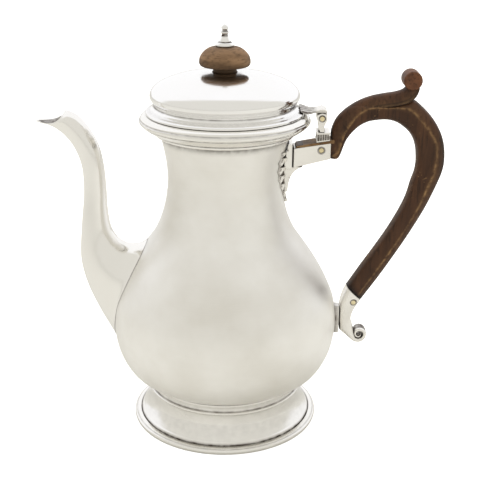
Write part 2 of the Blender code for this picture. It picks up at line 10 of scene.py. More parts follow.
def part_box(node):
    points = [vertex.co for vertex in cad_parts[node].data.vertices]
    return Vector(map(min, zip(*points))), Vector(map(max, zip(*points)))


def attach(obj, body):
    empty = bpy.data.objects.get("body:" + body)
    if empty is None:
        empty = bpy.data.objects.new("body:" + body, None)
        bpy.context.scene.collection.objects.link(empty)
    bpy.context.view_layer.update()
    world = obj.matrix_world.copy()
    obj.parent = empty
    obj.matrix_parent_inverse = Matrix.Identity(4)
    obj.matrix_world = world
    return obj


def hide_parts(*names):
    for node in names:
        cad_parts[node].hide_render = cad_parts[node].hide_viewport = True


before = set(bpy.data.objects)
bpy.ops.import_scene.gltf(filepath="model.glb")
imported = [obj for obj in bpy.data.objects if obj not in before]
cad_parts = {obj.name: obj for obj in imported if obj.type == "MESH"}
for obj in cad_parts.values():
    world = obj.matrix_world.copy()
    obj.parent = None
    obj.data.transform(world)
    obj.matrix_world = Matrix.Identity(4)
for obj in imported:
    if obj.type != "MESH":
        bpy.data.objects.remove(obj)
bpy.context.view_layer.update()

# ---- sizes, millimetres from the pot's own axis --------------------------------------------
MM = 0.001
rim_low, rim_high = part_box("foot_rim")
AXIS = Vector(((rim_low[0] + rim_high[0]) / 2, (rim_low[1] + rim_high[1]) / 2, 0.0))

STEPS = 144                   # round the large turned pieces
WALL = 1.1
BODY_BASE = 25.4
BODY_TOP = 190.0
NECK_BAND_RADIUS = 36.9
BELLY = [(46.2, 27.2), (51.8, 30.2), (59.1, 36.0), (64.4, 46.0), (66.8, 57.0), (67.0, 66.0),
         (65.6, 77.0), (61.2, 88.0), (55.0, 99.5), (47.5, 110.8), (41.2, 120.0),
         (36.8, 130.5), (34.2, 141.5), (33.2, 152.0), (34.0, 163.0), (36.0, 173.5)]
STRAINER_X = -62.0            # near the wall behind the spout, which every hole runs through
STRAINER_MIDDLE_Z = 82.0
STRAINER_ROWS = 5
STRAINER_PITCH = 7.0
STRAINER_ROW_STEP = 0.87      # height from row to row, as a share of the pitch
STRAINER_HOLE_RADIUS = 1.6

HINGE_X, HINGE_Z = 55.2, 188.0
KNUCKLE_RADIUS = 3.0
LEAF_EYE_HALF = 2.0
LEAF_FLUTES = 5
LEAF_FLUTE_DEPTH = 0.75
FORK_CHEEK_MIDDLE = 3.95
FORK_CHEEK_HALF = 1.65
PIN_RADIUS = 1.45
HINGE_BORE_RADIUS = 1.65
SOCKET_BORE_RADIUS = 1.6
# Each station of the lid's leaf holds its place, its top, its underside and half its width.
LEAF = [(42.6, 194.0, 193.2, 10.6), (45.4, 193.3, 191.6, 9.0), (48.4, 192.7, 191.0, 7.0),
        (51.0, 192.8, 191.4, 5.6), (53.4, 193.5, 191.4, 5.6), (55.6, 193.9, 191.4, 5.6),
        (57.2, 193.2, 191.4, 5.5), (58.0, 192.1, 191.4, 5.3)]
BLOCK_LEFT, BLOCK_RIGHT, BLOCK_TOP = 52.4, 59.8, 180.0
BLOCK_HALF = 6.2
BLOCK_FLUTES = 5
# Each layer of the block: share of its height, how far it stands out, how deep its flutes are.
BLOCK_LAYERS = [(0.0, 0.1, 0.0), (0.12, 0.1, 0.0), (0.18, -0.2, 1.0), (0.5, -0.2, 1.0),
                (0.78, -0.2, 1.0), (0.82, 0.1, 0.0), (0.9, 0.2, 0.0), (1.0, 0.0, 0.0)]
# Places of the pins that hold the wood, on X and Z.
UPPER_PIN = (55.2, 169.8)
LOWER_PIN = (77.6, 75.2)
SOCKET_HALF = 6.6
SOCKET_LEFT, SOCKET_RIGHT = 39.4, 60.6
SOCKET_FLOOR = (159.4, 164.7)         # height of the underside at the left and right ends
SOCKET_TOP = (172.1, 175.3)
WOOD_BAND = 1.3                       # height of the wood that shows above the cheeks
DROP_FOOT, DROP_TOP = 137.5, 170.0
DROP_HALF = 15.5
DROP_HUSKS = 6
BRACKET_LIFT = 1.1                    # how far the bracket's back stands off the neck
# Each station of the bracket holds its height, its front face and half its width.
BRACKET_FOOT = [(143.6, 36.6, 1.2), (147.0, 36.9, 2.0), (150.4, 37.5, 2.9), (153.6, 38.6, 3.8),
                (156.2, 40.3, 4.5), (158.2, 42.4, 5.0), (159.6, 45.0, 5.4)]
BRACKET_PLATE = [(158.4, 39.1, 6.0), (160.2, 39.1, 6.9), (173.4, 39.1, 7.2)]

# Each station of the handle, the sleeve and the spout holds a point on its outer side and the
# one across from it on its inner side, as X and Z, and then half its width.
HANDLE_LOOP = [(60.9, 180.8, 60.9, 164.2, 5.6), (62.2, 184.8, 65.4, 164.8, 6.2),
               (65.0, 189.3, 69.6, 175.2, 6.4), (70.8, 194.4, 75.2, 181.9, 6.5),
               (77.0, 196.4, 80.6, 185.2, 6.5), (84.5, 195.8, 85.8, 186.4, 6.5),
               (93.0, 195.2, 92.0, 186.8, 6.5), (100.0, 197.0, 97.6, 185.4, 6.6),
               (106.6, 198.3, 102.0, 182.6, 6.7), (112.4, 194.2, 105.7, 179.2, 6.7),
               (117.6, 188.8, 108.2, 175.0, 6.7), (122.2, 182.2, 109.6, 170.4, 6.7),
               (125.4, 174.6, 110.2, 165.8, 6.7), (126.8, 166.0, 110.4, 161.0, 6.7),
               (126.3, 157.5, 109.8, 156.0, 6.7), (123.0, 147.4, 108.1, 150.3, 6.6),
               (117.0, 133.2, 104.9, 138.4, 6.5), (108.1, 116.4, 97.4, 122.8, 6.3),
               (99.0, 101.0, 88.1, 107.4, 6.2), (92.4, 90.4, 81.3, 97.0, 6.2),
               (83.0, 76.4, 73.9, 85.0, 6.2)]
THUMB_SPUR = [(66.5, 189.6, 70.0, 179.0, 5.8), (70.9, 194.5, 74.6, 184.0, 6.3),
              (77.2, 198.2, 80.0, 188.6, 6.4), (83.8, 200.5, 85.6, 193.2, 6.4),
              (90.2, 201.8, 91.8, 194.4, 6.4), (96.2, 202.8, 98.4, 195.4, 6.3),
              (100.4, 204.2, 104.6, 197.4, 6.2), (102.6, 206.6, 108.2, 201.4, 6.1),
              (103.6, 209.0, 109.5, 205.4, 6.0)]
# Where the worn ridge runs on the side of the wood, from 1 outside to -1 inside.
RIDGE = [-0.8, -0.7, -0.45, -0.1, 0.3, 0.75, 0.85, 0.57, 0.35, 0.26, 0.27, 0.35, 0.42, 0.31,
         0.27, 0.25, 0.25, 0.25, 0.25, 0.28, 0.3]
SPUR_RIDGE = [-0.75] * len(THUMB_SPUR)
SECTION_RIDGE = 0.43          # where WOOD_SECTION itself has it
THUMB_ROLL = (105.3, 209.7)
THUMB_ROLL_RADIUS = 5.3
THUMB_ROLL_HALF = 6.4
# Section of the wood: how far out, share of the half width, and how worn it is there.
WOOD_SECTION = [(1.0, 0.0, 0.0), (0.98, 0.30, 0.0), (0.90, 0.58, 0.0), (0.70, 0.82, 0.1),
                (0.55, 0.92, 0.25), (0.46, 0.965, 1.0), (0.39, 0.985, 0.9), (0.30, 0.99, 0.2),
                (0.05, 0.985, 0.0), (-0.30, 0.97, 0.0), (-0.60, 0.90, 0.0),
                (-0.84, 0.68, 0.0), (-0.96, 0.34, 0.25), (-1.0, 0.0, 0.15)]

LOWER_SOCKET = [(82.6, 76.0, 73.6, 84.5, 6.2), (80.9, 73.1, 71.5, 79.9, 6.2),
                (79.0, 70.0, 70.0, 74.6, 6.0), (77.6, 66.5, 69.4, 69.2, 5.6),
                (77.0, 62.6, 69.4, 62.0, 5.2), (77.8, 59.8, 70.2, 55.4, 5.0)]
VOLUTE = (81.9, 53.3)
PAD_FACE_X = 69.1

SPOUT = [(-72.8, 62.6, -50.2, 110.6, 16.2), (-77.2, 71.6, -56.2, 109.8, 15.0),
         (-81.8, 82.6, -62.0, 112.2, 13.4), (-84.9, 93.6, -65.4, 116.2, 11.8),
         (-86.2, 105.0, -67.9, 122.4, 10.2), (-84.6, 124.0, -69.1, 133.0, 8.6),
         (-82.6, 142.0, -69.3, 144.5, 7.4), (-82.9, 157.5, -70.2, 158.5, 7.0),
         (-86.2, 168.2, -72.6, 170.2, 7.0), (-90.8, 175.4, -77.6, 180.2, 7.2),
         (-95.6, 179.9, -82.8, 186.8, 7.5), (-101.0, 182.8, -87.0, 189.8, 7.9),
         (-108.0, 184.9, -90.4, 191.0, 8.0)]
SPOUT_ROOT_MIDDLE_Z = 81.8
SPOUT_ROOT_HALF_Z = 31.4
SPOUT_ROOT_HALF_Y = 17.5
SPOUT_ROOT_GAP = 0.12
SPOUT_WALL = 1.0
SPOUT_DIP = (2.6, -2.9)
SPOUT_POINT = 0.38
SPOUT_STEPS = 72


# ---- node materials ------------------------------------------------------------------------
class Nodes:
    """A short way to write a material's node tree."""

    def __init__(self, name):
        self.material = bpy.data.materials.new(name)
        self.material.use_nodes = True
        self.tree = self.material.node_tree
        self.shader = self.tree.nodes["Principled BSDF"]
        self.place = self.add("ShaderNodeTexCoord").outputs["Object"]

    def add(self, kind, **settings):
        node = self.tree.nodes.new(kind)
        for key, value in settings.items():
            setattr(node, key, value)
        return node

    def link(self, output, socket):
        self.tree.links.new(output, socket)

    def noise(self, scale, detail=3.0, stretch=(1, 1, 1), turn=(0, 0, 0)):
        """Noise with features of 1/scale metres, stretched along an axis of the piece."""
        mapping = self.add("ShaderNodeMapping")
        mapping.inputs["Scale"].default_value = stretch
        mapping.inputs["Rotation"].default_value = turn
        self.link(self.place, mapping.inputs["Vector"])
        node = self.add("ShaderNodeTexNoise")
        node.inputs["Scale"].default_value = scale
        node.inputs["Detail"].default_value = detail
        self.link(mapping.outputs[0], node.inputs["Vector"])
        return node.outputs["Fac"]

    def remap(self, value, low, high, to_low=0.0, to_high=1.0):
        node = self.add("ShaderNodeMapRange")
        for key, number in zip(("From Min", "From Max", "To Min", "To Max"),
                               (low, high, to_low, to_high)):
            node.inputs[key].default_value = number
        self.link(value, node.inputs["Value"])
        return node.outputs["Result"]

    def maths(self, operation, a, b):
        node = self.add("ShaderNodeMath", operation=operation)
        for socket, value in zip(node.inputs, (a, b)):
            if isinstance(value, (int, float)):
                socket.default_value = value
            else:
                self.link(value, socket)
        return node.outputs[0]

    def mix(self, factor, a, b):
        node = self.add("ShaderNodeMix", data_type="RGBA")
        self.link(factor, node.inputs[0])
        for socket, value in ((node.inputs[6], a), (node.inputs[7], b)):
            if isinstance(value, tuple):
                socket.default_value = (*value, 1.0)
            else:
                self.link(value, socket)
        return node.outputs[2]

    def mark(self, name):
        """A number stored on the mesh, such as where wear gathers, or where real dirt and
        painted shade darken it.
        """
        return self.add("ShaderNodeAttribute", attribute_name=name).outputs["Fac"]

    def bump(self, layers):
        """Bump from (height, distance in metres) pairs, one after the other."""
        normal = None
        for height, distance in layers:
            node = self.add("ShaderNodeBump")
            node.inputs["Strength"].default_value = 1.0
            node.inputs["Distance"].default_value = distance
            self.link(height, node.inputs["Height"])
            if normal:
                self.link(normal, node.inputs["Normal"])
            normal = node.outputs["Normal"]
        self.link(normal, self.shader.inputs["Normal"])

    def set(self, socket, value):
        if isinstance(value, (int, float)):
            self.shader.inputs[socket].default_value = value
        elif isinstance(value, tuple):
            self.shader.inputs[socket].default_value = (*value, 1.0)
        else:
            self.link(value, self.shader.inputs[socket])


def metal(name, colour, dull, rough, crevice_shade=0.0, waviness=0.00012):
    """Hand-polished metal: soft waves, fine rubbing lines, and dark grooves that are partly
    real tarnish and partly painted shade and reflection.
    """
    n = Nodes(name)
    cloud = n.noise(22.0, 4.0)
    grain = n.noise(900.0, 3.0)
    rubbed = n.noise(60.0, 4.0, (1.0, 1.0, 40.0), (0.3, 0.2, 0.5))
    darkening = n.remap(n.noise(260.0, 4.0), 0.35, 0.62, 0.55, 1.0)
    dirt_and_shade = n.maths("MULTIPLY", n.mark("dirt_and_shade"), darkening)
    # painted shade: ambient occlusion darkens the colour in crevices and where parts meet,
    # where shade falls
    if crevice_shade:
        hollow = n.add("ShaderNodeAmbientOcclusion", samples=8, only_local=False)
        hollow.inputs["Distance"].default_value = 0.0022
        deep = n.remap(hollow.outputs["AO"], 0.30, 0.78, crevice_shade, 0.0)
        dirt_and_shade = n.maths("MAXIMUM", dirt_and_shade, n.maths("MULTIPLY", deep, darkening))
    clean = n.mix(n.remap(cloud, 0.35, 0.7), colour, dull)
    # dark where the mesh's darkening mark or the ambient occlusion is set: real tarnish plus
    # painted shade and reflection
    n.set("Base Color", n.mix(dirt_and_shade, clean, (0.062, 0.040, 0.027)))
    n.set("Metallic", 1.0)
    wear = n.maths("ADD", n.remap(cloud, 0.3, 0.7, rough, rough + 0.08),
                   n.remap(rubbed, 0.45, 0.75, 0.0, 0.10))
    n.set("Roughness", n.maths("ADD", wear, n.maths("MULTIPLY", dirt_and_shade, 0.35)))
    n.bump([(cloud, waviness), (rubbed, 0.000006), (grain, 0.000003)])
    return n.material


def wood(name, deep, warm, worn, stretch, turn, rough):
    """Old dry wood: long grain with pores, rubbed pale where hands and cloths wear it."""
    n = Nodes(name)
    band = n.noise(120.0, 5.0, stretch, turn)
    pores = n.noise(700.0, 4.0, stretch, turn)
    patches = n.noise(55.0, 4.0)
    flecks = n.noise(420.0, 5.0)
    base = n.mix(n.remap(band, 0.32, 0.68), deep, warm)
    base = n.mix(n.remap(pores, 0.52, 0.72, 0.0, 0.7), base, tuple(c * 0.45 for c in deep))
    rubbed = n.maths("MULTIPLY", n.mark("worn"), n.remap(flecks, 0.34, 0.62, 0.10, 1.0))
    rubbed = n.maths("MULTIPLY", rubbed, n.remap(patches, 0.36, 0.60, 0.45, 1.0))
    nicks = n.maths("MULTIPLY", n.remap(flecks, 0.66, 0.72), n.remap(patches, 0.54, 0.66))
    base = n.mix(n.maths("MAXIMUM", rubbed, nicks), base, worn)
    # dark where the mesh's mark is set: painted shade under the knob's cap, in the spur's
    # crevice and where the wood enters its sockets
    dirt_and_shade = n.mark("dirt_and_shade")
    n.set("Base Color", n.mix(dirt_and_shade, base, tuple(c * 0.25 for c in deep)))
    n.set("Roughness", n.remap(patches, 0.3, 0.7, rough, rough + 0.18))
    n.set("Specular IOR Level", 0.25)
    n.bump([(band, 0.00012), (pores, 0.00007), (flecks, 0.00005)])
    return n.material


SILVER = metal("silver", (0.94, 0.925, 0.895), (0.90, 0.885, 0.85), 0.10)
RAISED = metal("raised_silver", (0.97, 0.96, 0.935), (0.84, 0.82, 0.775), 0.42, 0.0, 0.0003)
# the fifth value is how much painted crevice shade the ambient occlusion adds
CAST = metal("cast_silver", (0.93, 0.91, 0.87), (0.80, 0.77, 0.71), 0.16, 1.0, 0.0002)
LID_SILVER = metal("lid_silver", (0.95, 0.945, 0.94), (0.93, 0.92, 0.905), 0.07, 0.0, 0.00004)
BRASS = metal("brass", (0.90, 0.80, 0.52), (0.66, 0.54, 0.30), 0.22, 0.9)
GOLDEN_WOOD = wood("golden_wood", (0.11, 0.058, 0.025), (0.36, 0.21, 0.090),
                   (0.55, 0.38, 0.18), (0.4, 1.0, 1.0), (0.0, 0.0, 0.0), 0.45)
HANDLE_WOOD = wood("handle_wood", (0.030, 0.0125, 0.0055), (0.080, 0.034, 0.0145),
                   (0.27, 0.155, 0.065), (1.0, 1.0, 0.09), (0.0, 0.55, 0.0), 0.38)
END_WOOD = wood("end_grain", (0.075, 0.030, 0.014), (0.19, 0.075, 0.032),
                (0.30, 0.16, 0.07), (1.0, 0.4, 1.0), (0.0, 0.0, 0.0), 0.42)
KNOB_WOOD = wood("knob_wood", (0.13, 0.073, 0.036), (0.31, 0.186, 0.098),
                 (0.52, 0.37, 0.19), (0.5, 0.5, 2.2), (0.0, 0.0, 0.0), 0.5)


# ---- mesh tools ----------------------------------------------------------------------------
def piece(name, bm, look, body, nodes=(), sharp=38, bevel=0.0):
    """Turn a bmesh in millimetres about the pot's axis into a piece riding on a body."""
    bmesh.ops.remove_doubles(bm, verts=bm.verts, dist=0.0005)
    bmesh.ops.recalc_face_normals(bm, faces=bm.faces)
    bm.transform(Matrix.Translation(AXIS) @ Matrix.Scale(MM, 4))
    mesh = bpy.data.meshes.new(name)
    bm.to_mesh(mesh)
    bm.free()
    mesh.shade_smooth()
    mesh.set_sharp_from_angle(angle=radians(sharp))
    mesh.materials.append(look)
    made = bpy.data.objects.new(name, mesh)
    bpy.context.scene.collection.objects.link(made)
    if bevel:
        edge = made.modifiers.new("bevel", "BEVEL")
        edge.width = bevel * MM
        edge.segments = 3
        edge.limit_method = "ANGLE"
        edge.angle_limit = radians(35)
    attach(made, body)
    if nodes:
        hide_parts(*nodes)
    return made


def smooth(points, steps):
    """Points along a Catmull-Rom curve through the given ones, of any dimension."""
    rows = [Vector(p) for p in points]
    path = []
    for i in range(len(rows) - 1):
        before = rows[max(i - 1, 0)]
        after = rows[min(i + 2, len(rows) - 1)]
        a, b = rows[i], rows[i + 1]
        for k in range(steps):
            t = k / steps
            path.append(0.5 * (2 * a + (b - before) * t
                               + (2 * before - 5 * a + 4 * b - after) * t * t
                               + (3 * a - before - 3 * b + after) * t ** 3))
    path.append(rows[-1])
    return path


def smooth_rings(rings, steps):
    """More rings between the given ones, each point following its own curve."""
    lines = [smooth(line, steps) for line in zip(*rings)]
    return [list(ring) for ring in zip(*lines)]


def outline(points, steps=6):
    """A smooth (radius, height, darkening) line, the darkening being dirt and painted shade; a
    point with a third value of 1 is a corner.
    """
    rows = [(p[0], p[1], p[3] if len(p) > 3 else 0.0) for p in points]
    corners = [i for i, p in enumerate(points)
               if i in (0, len(points) - 1) or (len(p) > 2 and p[2])]
    path = []
    for a, b in zip(corners, corners[1:]):
        path += smooth(rows[a:b + 1], steps)[:-1]
    return path + [Vector(rows[-1])]


def inside(path, distance):
    """The line at a distance to the left of a path's direction of travel."""
    moved = []
    for i, point in enumerate(path):
        before = path[max(i - 1, 0)]
        after = path[min(i + 1, len(path) - 1)]
        along = Vector((after[0] - before[0], after[1] - before[1])).normalized()
        moved.append(Vector((point[0] - along.y * distance, point[1] + along.x * distance, 0)))
    return moved


def turned(path, closed=True, steps=STEPS):
    """A bmesh spun from a line of (radius, height, darkening) about the pot's axis, the
    darkening being dirt and painted shade.
    """
    bm = bmesh.new()
    dirt_and_shade = bm.verts.layers.float.new("dirt_and_shade")
    rows = []
    for r, z, darkening in path:
        row = []
        for k in range(steps if r > 0 else 1):
            vert = bm.verts.new((r * cos(2 * pi * k / steps), r * sin(2 * pi * k / steps), z))
            vert[dirt_and_shade] = darkening
            row.append(vert)
        rows.append(row)
    pairs = list(zip(rows, rows[1:])) + ([(rows[-1], rows[0])] if closed else [])
    for a, b in pairs:
        for k in range(steps):
            corners = [a[k % len(a)], a[(k + 1) % len(a)], b[(k + 1) % len(b)], b[k % len(b)]]
            corners = list(dict.fromkeys(corners))
            if len(corners) > 2:
                bm.faces.new(corners)
    return bm


def lofted(rings, dirt_and_shade=None, worn=None, closed=False):
    """A bmesh skin over rings of points, capped unless it closes on itself."""
    bm = bmesh.new()
    layers = [(bm.verts.layers.float.new(name), values)
              for name, values in (("dirt_and_shade", dirt_and_shade), ("worn", worn)) if values]
    rows = []
    for i, ring in enumerate(rings):
        row = [bm.verts.new(p) for p in ring]
        for layer, values in layers:
            for vert, value in zip(row, values[i]):
                vert[layer] = value
        rows.append(row)
    for a, b in zip(rows, rows[1:] + ([rows[0]] if closed else [])):
        for i in range(len(a)):
            j = (i + 1) % len(a)
            bm.faces.new((a[i], a[j], b[j], b[i]))
    if not closed:
        bm.faces.new(rows[0][::-1])
        bm.faces.new(rows[-1])
    return bm


def prism(points, half_width):
    """A bmesh of an (x, z) outline extruded to both sides of the middle plane."""
    return lofted([[(x, y, z) for x, z in points] for y in (-half_width, half_width)])


def disc(x, z, radius, reach, crown=0.0, steps=48, edge=0.3):
    """A round bar along Y from -reach to reach, its ends eased and a little domed."""
    profile = [(0.0, reach + crown), (radius * 0.5, reach + crown * 0.75),
               (radius - edge, reach), (radius - edge * 0.3, reach - edge * 0.3),
               (radius, reach - edge)]
    profile = profile + [(r, -y) for r, y in reversed(profile)]
    bm = turned([(r, y, 0.0) for r, y in profile], closed=False, steps=steps)
    bm.transform(Matrix.Translation((x, 0, z)) @ Matrix.Rotation(pi / 2, 4, "X"))
    return bm


def join(*parts):
    """Several closed bmeshes as one."""
    whole = bmesh.new()
    for bm in parts:
        mesh = bpy.data.meshes.new("join")
        bm.to_mesh(mesh)
        bm.free()
        whole.from_mesh(mesh)
        bpy.data.meshes.remove(mesh)
    return whole


def carve(made, cutter_bm, operation="DIFFERENCE"):
    """Cut one bmesh out of a piece, or add it, and keep the result as its mesh."""
    cutter_bm.transform(Matrix.Translation(AXIS) @ Matrix.Scale(MM, 4))
    bmesh.ops.recalc_face_normals(cutter_bm, faces=cutter_bm.faces)
    mesh = bpy.data.meshes.new("cutter")
    cutter_bm.to_mesh(mesh)
    cutter_bm.free()
    tool = bpy.data.objects.new("cutter", mesh)
    bpy.context.scene.collection.objects.link(tool)
    cut = made.modifiers.new("cut", "BOOLEAN")
    cut.operation = operation
    cut.object = tool
    bpy.context.view_layer.update()
    graph = bpy.context.evaluated_depsgraph_get()
    done = bpy.data.meshes.new_from_object(made.evaluated_get(graph), depsgraph=graph)
    made.modifiers.remove(cut)
    made.data = done
    bpy.data.objects.remove(tool, do_unlink=True)
    done.shade_smooth()
    done.set_sharp_from_angle(angle=radians(38))


# ---- body, foot and mouth ------------------------------------------------------------------
def body_line():
    """Outline of the body's outside, from the middle of its base up to the mouth."""
    # fourth values darken the joins with the collar and the mouth wire: painted shade and
    # reflection, with some real tarnish
    low = [(0.0, BODY_BASE, 1), (38.0, BODY_BASE, 1), (44.4, 26.3, 0, 0.9)]
    high = [(NECK_BAND_RADIUS, 178.0, 1, 0.8), (NECK_BAND_RADIUS, BODY_TOP, 1)]
    return outline(low + BELLY + high)


BODY_LINE = body_line()


def body_radius(z):
    """Radius of the body's outside at a height."""
    for a, b in zip(BODY_LINE, BODY_LINE[1:]):
        if a[1] <= z <= b[1] and b[1] > a[1] and a[0] > 0:
            return a[0] + (b[0] - a[0]) * (z - a[1]) / (b[1] - a[1])
    return NECK_BAND_RADIUS


def body_x(y, z, clearance):
    """Distance on X from the axis to a surface that stands off the body by a clearance."""
    return sqrt((body_radius(z) + clearance) ** 2 - y * y)


def make_body():
    """Thin raised body, with a strainer of small holes behind the spout."""
    outer = BODY_LINE
    inner = inside(outer, WALL)
    inner[0] = Vector((0.0, BODY_BASE + WALL, 0.0))
    inner[-1] = Vector((NECK_BAND_RADIUS - WALL, BODY_TOP, 0.0))
    body = piece("body_shell", turned(outer + inner[::-1], closed=False), RAISED, "pot",
                 ["body"])
    cutters = []
    for row in range(STRAINER_ROWS):
        z = STRAINER_MIDDLE_Z + (row - STRAINER_ROWS // 2) * STRAINER_PITCH * STRAINER_ROW_STEP
        for across in ((-0.5, 0.5) if row % 2 == 0 else (-1.0, 0.0, 1.0)):
            hole = disc(0, 0, STRAINER_HOLE_RADIUS, 12.0, steps=20)
            turn = Matrix.Rotation(pi / 2, 4, "Z")
            hole.transform(Matrix.Translation((STRAINER_X, across * STRAINER_PITCH, z)) @ turn)
            cutters.append(hole)
    carve(body, join(*cutters))


def make_foot():
    """Spreading foot, the collar that joins it to the body, and the ring it stands on."""
    # fourth values darken grooves and corners in all three outlines: painted shade and
    # reflection, with some real tarnish
    cavetto = [(45.3, 20.2, 1, 0.9), (45.1, 19.0, 0, 0.15), (45.2, 16.6, 0, 0.11),
               (46.0, 12.6, 0, 0.13), (48.0, 8.6, 0, 0.12), (50.4, 5.7, 0, 0.08),
               (51.6, 4.6, 0, 0.15), (52.2, 3.6, 0, 0.95), (52.2, 1.6, 1, 1.0)]
    path = outline(cavetto)
    under = inside(path, -WALL)
    piece("foot_cavetto", turned(path + under[::-1]), SILVER, "pot", ["foot"])
    collar = [(43.9, 26.2, 1, 0.9), (45.2, 26.5, 0, 0.7), (46.0, 25.9), (45.7, 24.2, 0, 0.1),
              (45.8, 22.9, 0, 0.35), (46.1, 22.3, 1, 0.9), (46.9, 21.7, 0, 0.1), (47.1, 21.1),
              (46.7, 20.3, 0, 0.1), (45.6, 19.9, 1, 0.9), (43.9, 19.9, 1)]
    piece("foot_collar_band", turned(outline(collar)), SILVER, "pot",
          ["foot_collar"])
    rim = [(52.1, 0.0, 1), (52.15, 2.4, 1, 1.0), (52.4, 3.2, 0, 0.95), (52.9, 3.5, 0, 0.1),
           (54.0, 3.5), (54.9, 3.2, 0, 0.15), (55.2, 2.8, 0, 0.35), (55.7, 2.6, 0, 0.1),
           (56.3, 2.0), (56.5, 1.2), (56.4, 0.5, 0, 0.2), (56.1, 0.0, 1, 0.5)]
    piece("foot_ring", turned(outline(rim)), SILVER, "pot", ["foot_rim"])


def make_mouth():
    """Applied moulding round the mouth, in three steps."""
    bore = NECK_BAND_RADIUS + 0.3
    # fourth values darken grooves and steps: painted shade and reflection, with some real
    # tarnish
    line = [(bore, 178.4, 1), (38.2, 178.1, 0, 0.9), (39.3, 178.2, 0, 0.2), (40.2, 178.8),
            (40.4, 179.6, 0, 0.15), (40.1, 180.1, 1, 0.9), (41.6, 180.5, 0, 0.1),
            (43.8, 181.6), (45.8, 182.9), (47.2, 184.0, 0, 0.1), (47.6, 184.7, 1, 0.9),
            (48.4, 185.0, 0, 0.1), (48.95, 185.8), (49.0, 186.6), (48.8, 187.2, 0, 0.2),
            (48.4, 187.6, 1, 0.6), (48.2, 188.3), (47.3, 189.2), (46.2, 189.8),
            (44.9, 190.1, 0, 0.15), (42.0, 190.1, 1, 0.2), (bore, 190.1, 1)]
    piece("mouth_wire", turned(outline(line, 5)), SILVER, "pot",
          ["mouth_moulding"])


# ---- spout ---------------------------------------------------------------------------------
def spout_root(inset, clearance):
    """First ring of the spout: an upright oval that lies on the body's surface."""
    ring = []
    for k in range(SPOUT_STEPS):
        turn = 2 * pi * k / SPOUT_STEPS
        y = (SPOUT_ROOT_HALF_Y - inset) * sin(turn)
        z = SPOUT_ROOT_MIDDLE_Z - (SPOUT_ROOT_HALF_Z - inset) * cos(turn)
        ring.append((-body_x(y, z, clearance), y, z))
    return ring


def spout_ring(station, share, inset):
    """A ring across the spout, drawn to a pointed and dipping lip as share nears 1."""
    out_x, out_z, in_x, in_z, half = station
    length = hypot(out_x - in_x, out_z - in_z) / 2
    keep = (length - inset) / length
    ring = []
    for k in range(SPOUT_STEPS):
        c, s = cos(2 * pi * k / SPOUT_STEPS), sin(2 * pi * k / SPOUT_STEPS)
        x = (out_x + in_x) / 2 + (out_x - in_x) / 2 * keep * c
        z = (out_z + in_z) / 2 + (out_z - in_z) / 2 * keep * c
        narrow = 1 - SPOUT_POINT * share * max(c, 0.0)
        ring.append((x + SPOUT_DIP[0] * share * s * s, (half - inset) * s * narrow,
                     z + SPOUT_DIP[1] * share * s * s))
    return ring


def make_spout():
    """Outer and inner walls of the spout, joined by a rounded lip."""
    last = len(SPOUT) - 1
    shares = [0.0] * (last - 1) + [0.25, 1.0]
    walls = []
    for inset in (0.0, SPOUT_WALL):
        rings = [spout_root(inset, SPOUT_ROOT_GAP)]
        rings += [spout_ring(s, share, inset) for s, share in zip(SPOUT, shares)]
        walls.append(smooth_rings(rings, 6))
    outer, inner = walls
    lip = spout_ring(SPOUT[-1], 1.0, SPOUT_WALL / 2)
    lip = [(x - 0.25, y, z + 0.35) for x, y, z in lip]
    loop = outer + [lip] + inner[::-1]
    count = len(outer)
    # the root ring and the inner wall are darkened: painted shade at the join with the body and
    # inside the spout
    dirt_and_shade = [[0.0] * SPOUT_STEPS for _ in loop]
    dirt_and_shade[0] = [0.9] * SPOUT_STEPS
    dirt_and_shade[1] = [0.12] * SPOUT_STEPS
    for i in range(count + 2, len(loop)):
        dirt_and_shade[i] = [0.95] * SPOUT_STEPS
    piece("spout_shell", lofted(loop, dirt_and_shade=dirt_and_shade, closed=True), SILVER, "pot",
          ["spout"], sharp=60)


# ---- lid -----------------------------------------------------------------------------------
def make_lid():
    """Domed cover on a moulded edge, with the bezel that drops into the neck."""
    # fourth values in the outlines below darken grooves, corners and joins: painted shade and
    # reflection, with some real tarnish
    dome = [(40.3, 194.6, 1, 0.9), (40.3, 195.5, 0, 0.2), (40.7, 196.6), (42.0, 198.2),
            (42.6, 199.9), (42.4, 201.8), (41.1, 204.2), (38.0, 206.9), (33.0, 209.2),
            (26.0, 211.3), (17.0, 212.8), (8.0, 213.35), (2.3, 213.4, 1)]
    path = outline(dome)
    under = inside(path, 1.0)
    under[0] = Vector((39.3, 194.6, 0.0))
    under[-1] = Vector((2.3, 212.4, 0.0))
    piece("lid_cover", turned(path + under[::-1]), LID_SILVER, "lid", ["lid_dome"])
    flange = [(35.4, 190.4, 1), (43.6, 190.3, 1, 0.1), (44.7, 190.3, 0, 0.1), (45.15, 190.8),
              (45.0, 191.5), (44.2, 192.1, 0, 0.1), (43.2, 192.5, 0, 0.15),
              (42.4, 193.0, 0, 0.1), (41.3, 193.7), (40.7, 194.4, 0, 0.15),
              (40.5, 195.0, 1, 0.8), (39.4, 195.0, 1), (35.4, 195.0, 1)]
    piece("lid_edge", turned(outline(flange)), LID_SILVER, "lid", ["lid_flange"])
    bezel = [(34.1, 182.4, 1), (34.6, 182.3, 0), (35.0, 182.6), (35.1, 183.2, 1),
             (35.1, 190.0, 1, 0.6), (35.1, 194.8, 1), (34.1, 194.8, 1)]
    piece("lid_bezel_ring", turned(outline(bezel, 3)), SILVER, "lid",
          ["lid_bezel"])


